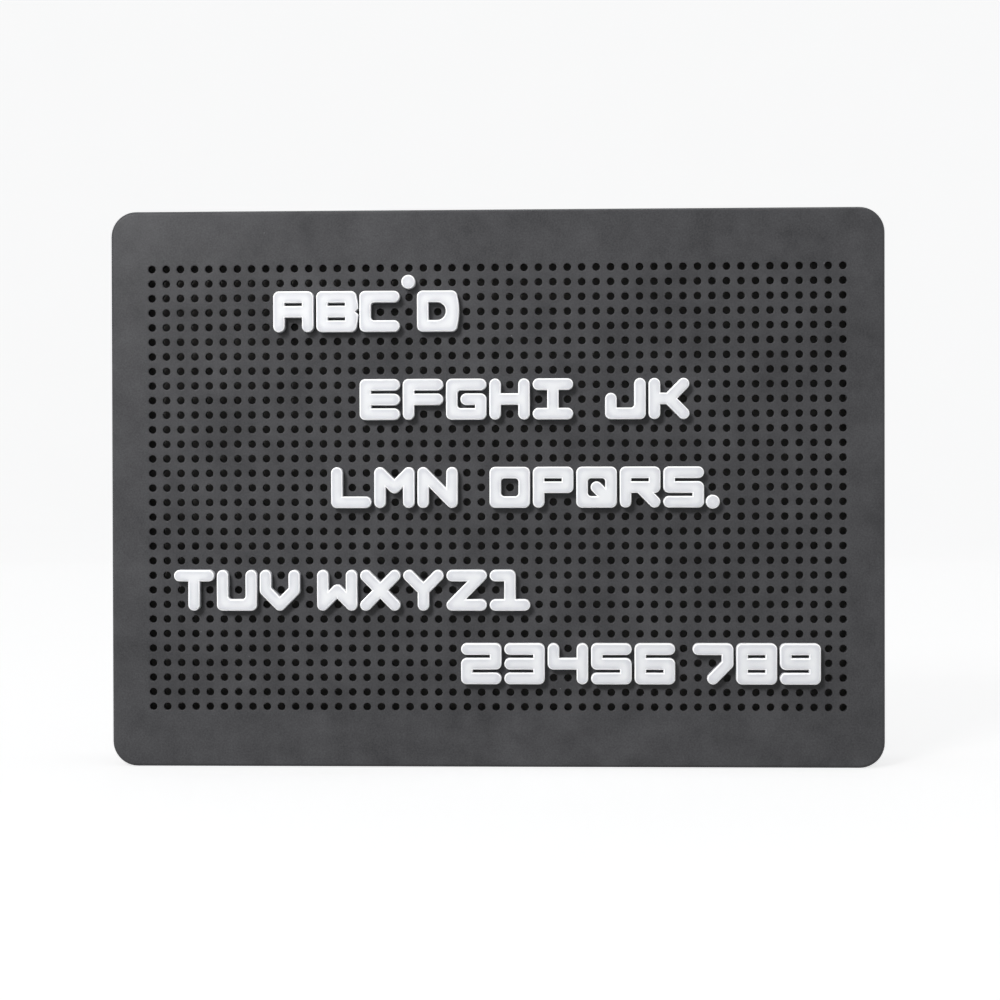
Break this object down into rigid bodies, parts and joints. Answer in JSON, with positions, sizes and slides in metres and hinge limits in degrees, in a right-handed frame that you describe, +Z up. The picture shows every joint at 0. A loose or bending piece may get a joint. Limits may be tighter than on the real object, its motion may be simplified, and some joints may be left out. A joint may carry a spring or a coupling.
{
  "type": "peg board light box",
  "caption": "Upright battery light box whose perforated dark face takes plug-in pegged letters, digits and dots, with a rear switch, battery door and wall keyholes.",
  "frame": {"origin": "centre of the case's underside, where it stands on a table", "axes": "+Z up, -Y out of the perforated face towards the viewer, +X to the viewer's right"},
  "size_m": [0.306, 0.0492, 0.2206],
  "materials": {
    "case_plastic": "moulded, fine satin grain, dark grey",
    "character_plastic": "translucent white, smooth",
    "smoked_sheet": "smoked translucent sheet",
    "tray_white": "moulded, white",
    "strip_white": "white solder mask",
    "led_phosphor": "yellow phosphor fill",
    "component_black": "moulded, black",
    "link_insulation": "white insulation",
    "cell_can": "printed foil sleeve, grey",
    "spring_steel": "nickel plated wire",
    "contact_nickel": "nickel plated strip",
    "wire_red": "red insulation",
    "wire_black": "black insulation",
    "board_laminate": "green solder mask",
    "stamped_steel": "stamped, tin plated",
    "screw_steel": "black zinc",
    "switch_knob": "moulded, black"
  },
  "bodies": {
    "housing": {"front_panel": "case_plastic", "rear_shell": "case_plastic", "diffuser_sheet": "smoked_sheet", "reflector_tray": "tray_white", "led_strips": "strip_white", "led_chips": "led_phosphor", "led_resistors": "component_black", "strip_links": "link_insulation", "battery_cells": "cell_can", "contact_springs": "spring_steel", "contact_plates": "contact_nickel", "wire_red": "wire_red", "wire_black": "wire_black", "led_leads": "link_insulation", "control_board": "board_laminate", "board_chips": "component_black", "switch_body": "stamped_steel", "usb_shell": "stamped_steel", "usb_tongue": "wire_black", "case_screws": "screw_steel", "board_screws": "screw_steel"},
    "power_slider": {"switch_slider": "switch_knob"},
    "door": {"battery_door": "case_plastic"},
    "peg_letter_A": {"letter_A": "character_plastic"},
    "peg_letter_B": {"letter_B": "character_plastic"},
    "peg_letter_C": {"letter_C": "character_plastic"},
    "peg_letter_D": {"letter_D": "character_plastic"},
    "peg_letter_E": {"letter_E": "character_plastic"},
    "peg_letter_F": {"letter_F": "character_plastic"},
    "peg_letter_G": {"letter_G": "character_plastic"},
    "peg_letter_H": {"letter_H": "character_plastic"},
    "peg_letter_I": {"letter_I": "character_plastic"},
    "peg_letter_J": {"letter_J": "character_plastic"},
    "peg_letter_K": {"letter_K": "character_plastic"},
    "peg_letter_L": {"letter_L": "character_plastic"},
    "peg_letter_M": {"letter_M": "character_plastic"},
    "peg_letter_N": {"letter_N": "character_plastic"},
    "peg_letter_O": {"letter_O": "character_plastic"},
    "peg_letter_P": {"letter_P": "character_plastic"},
    "peg_letter_Q": {"letter_Q": "character_plastic"},
    "peg_letter_R": {"letter_R": "character_plastic"},
    "peg_letter_S": {"letter_S": "character_plastic"},
    "peg_letter_T": {"letter_T": "character_plastic"},
    "peg_letter_U": {"letter_U": "character_plastic"},
    "peg_letter_V": {"letter_V": "character_plastic"},
    "peg_letter_W": {"letter_W": "character_plastic"},
    "peg_letter_X": {"letter_X": "character_plastic"},
    "peg_letter_Y": {"letter_Y": "character_plastic"},
    "peg_letter_Z": {"letter_Z": "character_plastic"},
    "peg_digit_1": {"digit_1": "character_plastic"},
    "peg_digit_2": {"digit_2": "character_plastic"},
    "peg_digit_3": {"digit_3": "character_plastic"},
    "peg_digit_4": {"digit_4": "character_plastic"},
    "peg_digit_5": {"digit_5": "character_plastic"},
    "peg_digit_6": {"digit_6": "character_plastic"},
    "peg_digit_7": {"digit_7": "character_plastic"},
    "peg_digit_8": {"digit_8": "character_plastic"},
    "peg_digit_9": {"digit_9": "character_plastic"},
    "peg_dot_upper": {"dot_upper": "character_plastic"},
    "peg_dot_lower": {"dot_lower": "character_plastic"}
  },
  "joints": [
    {"name": "power_switch", "type": "slide", "parent": "housing", "child": "power_slider", "axis": [1, 0, 0], "range_m": [0, 0.0034]},
    {"name": "battery_door_tilt", "type": "hinge", "parent": "housing", "child": "door", "pos_m": [0, 0.0225, 0.01805], "axis": [-1, 0, 0], "range_deg": [0, 35]},
    {"name": "letter_A_pull", "type": "slide", "parent": "housing", "child": "peg_letter_A", "axis": [0, -1, 0], "range_m": [0, 0.01]},
    {"name": "letter_B_pull", "type": "slide", "parent": "housing", "child": "peg_letter_B", "axis": [0, -1, 0], "range_m": [0, 0.01]},
    {"name": "letter_C_pull", "type": "slide", "parent": "housing", "child": "peg_letter_C", "axis": [0, -1, 0], "range_m": [0, 0.01]},
    {"name": "letter_D_pull", "type": "slide", "parent": "housing", "child": "peg_letter_D", "axis": [0, -1, 0], "range_m": [0, 0.01]},
    {"name": "letter_E_pull", "type": "slide", "parent": "housing", "child": "peg_letter_E", "axis": [0, -1, 0], "range_m": [0, 0.01]},
    {"name": "letter_F_pull", "type": "slide", "parent": "housing", "child": "peg_letter_F", "axis": [0, -1, 0], "range_m": [0, 0.01]},
    {"name": "letter_G_pull", "type": "slide", "parent": "housing", "child": "peg_letter_G", "axis": [0, -1, 0], "range_m": [0, 0.01]},
    {"name": "letter_H_pull", "type": "slide", "parent": "housing", "child": "peg_letter_H", "axis": [0, -1, 0], "range_m": [0, 0.01]},
    {"name": "letter_I_pull", "type": "slide", "parent": "housing", "child": "peg_letter_I", "axis": [0, -1, 0], "range_m": [0, 0.01]},
    {"name": "letter_J_pull", "type": "slide", "parent": "housing", "child": "peg_letter_J", "axis": [0, -1, 0], "range_m": [0, 0.01]},
    {"name": "letter_K_pull", "type": "slide", "parent": "housing", "child": "peg_letter_K", "axis": [0, -1, 0], "range_m": [0, 0.01]},
    {"name": "letter_L_pull", "type": "slide", "parent": "housing", "child": "peg_letter_L", "axis": [0, -1, 0], "range_m": [0, 0.01]},
    {"name": "letter_M_pull", "type": "slide", "parent": "housing", "child": "peg_letter_M", "axis": [0, -1, 0], "range_m": [0, 0.01]},
    {"name": "letter_N_pull", "type": "slide", "parent": "housing", "child": "peg_letter_N", "axis": [0, -1, 0], "range_m": [0, 0.01]},
    {"name": "letter_O_pull", "type": "slide", "parent": "housing", "child": "peg_letter_O", "axis": [0, -1, 0], "range_m": [0, 0.01]},
    {"name": "letter_P_pull", "type": "slide", "parent": "housing", "child": "peg_letter_P", "axis": [0, -1, 0], "range_m": [0, 0.01]},
    {"name": "letter_Q_pull", "type": "slide", "parent": "housing", "child": "peg_letter_Q", "axis": [0, -1, 0], "range_m": [0, 0.01]},
    {"name": "letter_R_pull", "type": "slide", "parent": "housing", "child": "peg_letter_R", "axis": [0, -1, 0], "range_m": [0, 0.01]},
    {"name": "letter_S_pull", "type": "slide", "parent": "housing", "child": "peg_letter_S", "axis": [0, -1, 0], "range_m": [0, 0.01]},
    {"name": "letter_T_pull", "type": "slide", "parent": "housing", "child": "peg_letter_T", "axis": [0, -1, 0], "range_m": [0, 0.01]},
    {"name": "letter_U_pull", "type": "slide", "parent": "housing", "child": "peg_letter_U", "axis": [0, -1, 0], "range_m": [0, 0.01]},
    {"name": "letter_V_pull", "type": "slide", "parent": "housing", "child": "peg_letter_V", "axis": [0, -1, 0], "range_m": [0, 0.01]},
    {"name": "letter_W_pull", "type": "slide", "parent": "housing", "child": "peg_letter_W", "axis": [0, -1, 0], "range_m": [0, 0.01]},
    {"name": "letter_X_pull", "type": "slide", "parent": "housing", "child": "peg_letter_X", "axis": [0, -1, 0], "range_m": [0, 0.01]},
    {"name": "letter_Y_pull", "type": "slide", "parent": "housing", "child": "peg_letter_Y", "axis": [0, -1, 0], "range_m": [0, 0.01]},
    {"name": "letter_Z_pull", "type": "slide", "parent": "housing", "child": "peg_letter_Z", "axis": [0, -1, 0], "range_m": [0, 0.01]},
    {"name": "digit_1_pull", "type": "slide", "parent": "housing", "child": "peg_digit_1", "axis": [0, -1, 0], "range_m": [0, 0.01]},
    {"name": "digit_2_pull", "type": "slide", "parent": "housing", "child": "peg_digit_2", "axis": [0, -1, 0], "range_m": [0, 0.01]},
    {"name": "digit_3_pull", "type": "slide", "parent": "housing", "child": "peg_digit_3", "axis": [0, -1, 0], "range_m": [0, 0.01]},
    {"name": "digit_4_pull", "type": "slide", "parent": "housing", "child": "peg_digit_4", "axis": [0, -1, 0], "range_m": [0, 0.01]},
    {"name": "digit_5_pull", "type": "slide", "parent": "housing", "child": "peg_digit_5", "axis": [0, -1, 0], "range_m": [0, 0.01]},
    {"name": "digit_6_pull", "type": "slide", "parent": "housing", "child": "peg_digit_6", "axis": [0, -1, 0], "range_m": [0, 0.01]},
    {"name": "digit_7_pull", "type": "slide", "parent": "housing", "child": "peg_digit_7", "axis": [0, -1, 0], "range_m": [0, 0.01]},
    {"name": "digit_8_pull", "type": "slide", "parent": "housing", "child": "peg_digit_8", "axis": [0, -1, 0], "range_m": [0, 0.01]},
    {"name": "digit_9_pull", "type": "slide", "parent": "housing", "child": "peg_digit_9", "axis": [0, -1, 0], "range_m": [0, 0.01]},
    {"name": "dot_upper_pull", "type": "slide", "parent": "housing", "child": "peg_dot_upper", "axis": [0, -1, 0], "range_m": [0, 0.01]},
    {"name": "dot_lower_pull", "type": "slide", "parent": "housing", "child": "peg_dot_lower", "axis": [0, -1, 0], "range_m": [0, 0.01]}
  ]
}
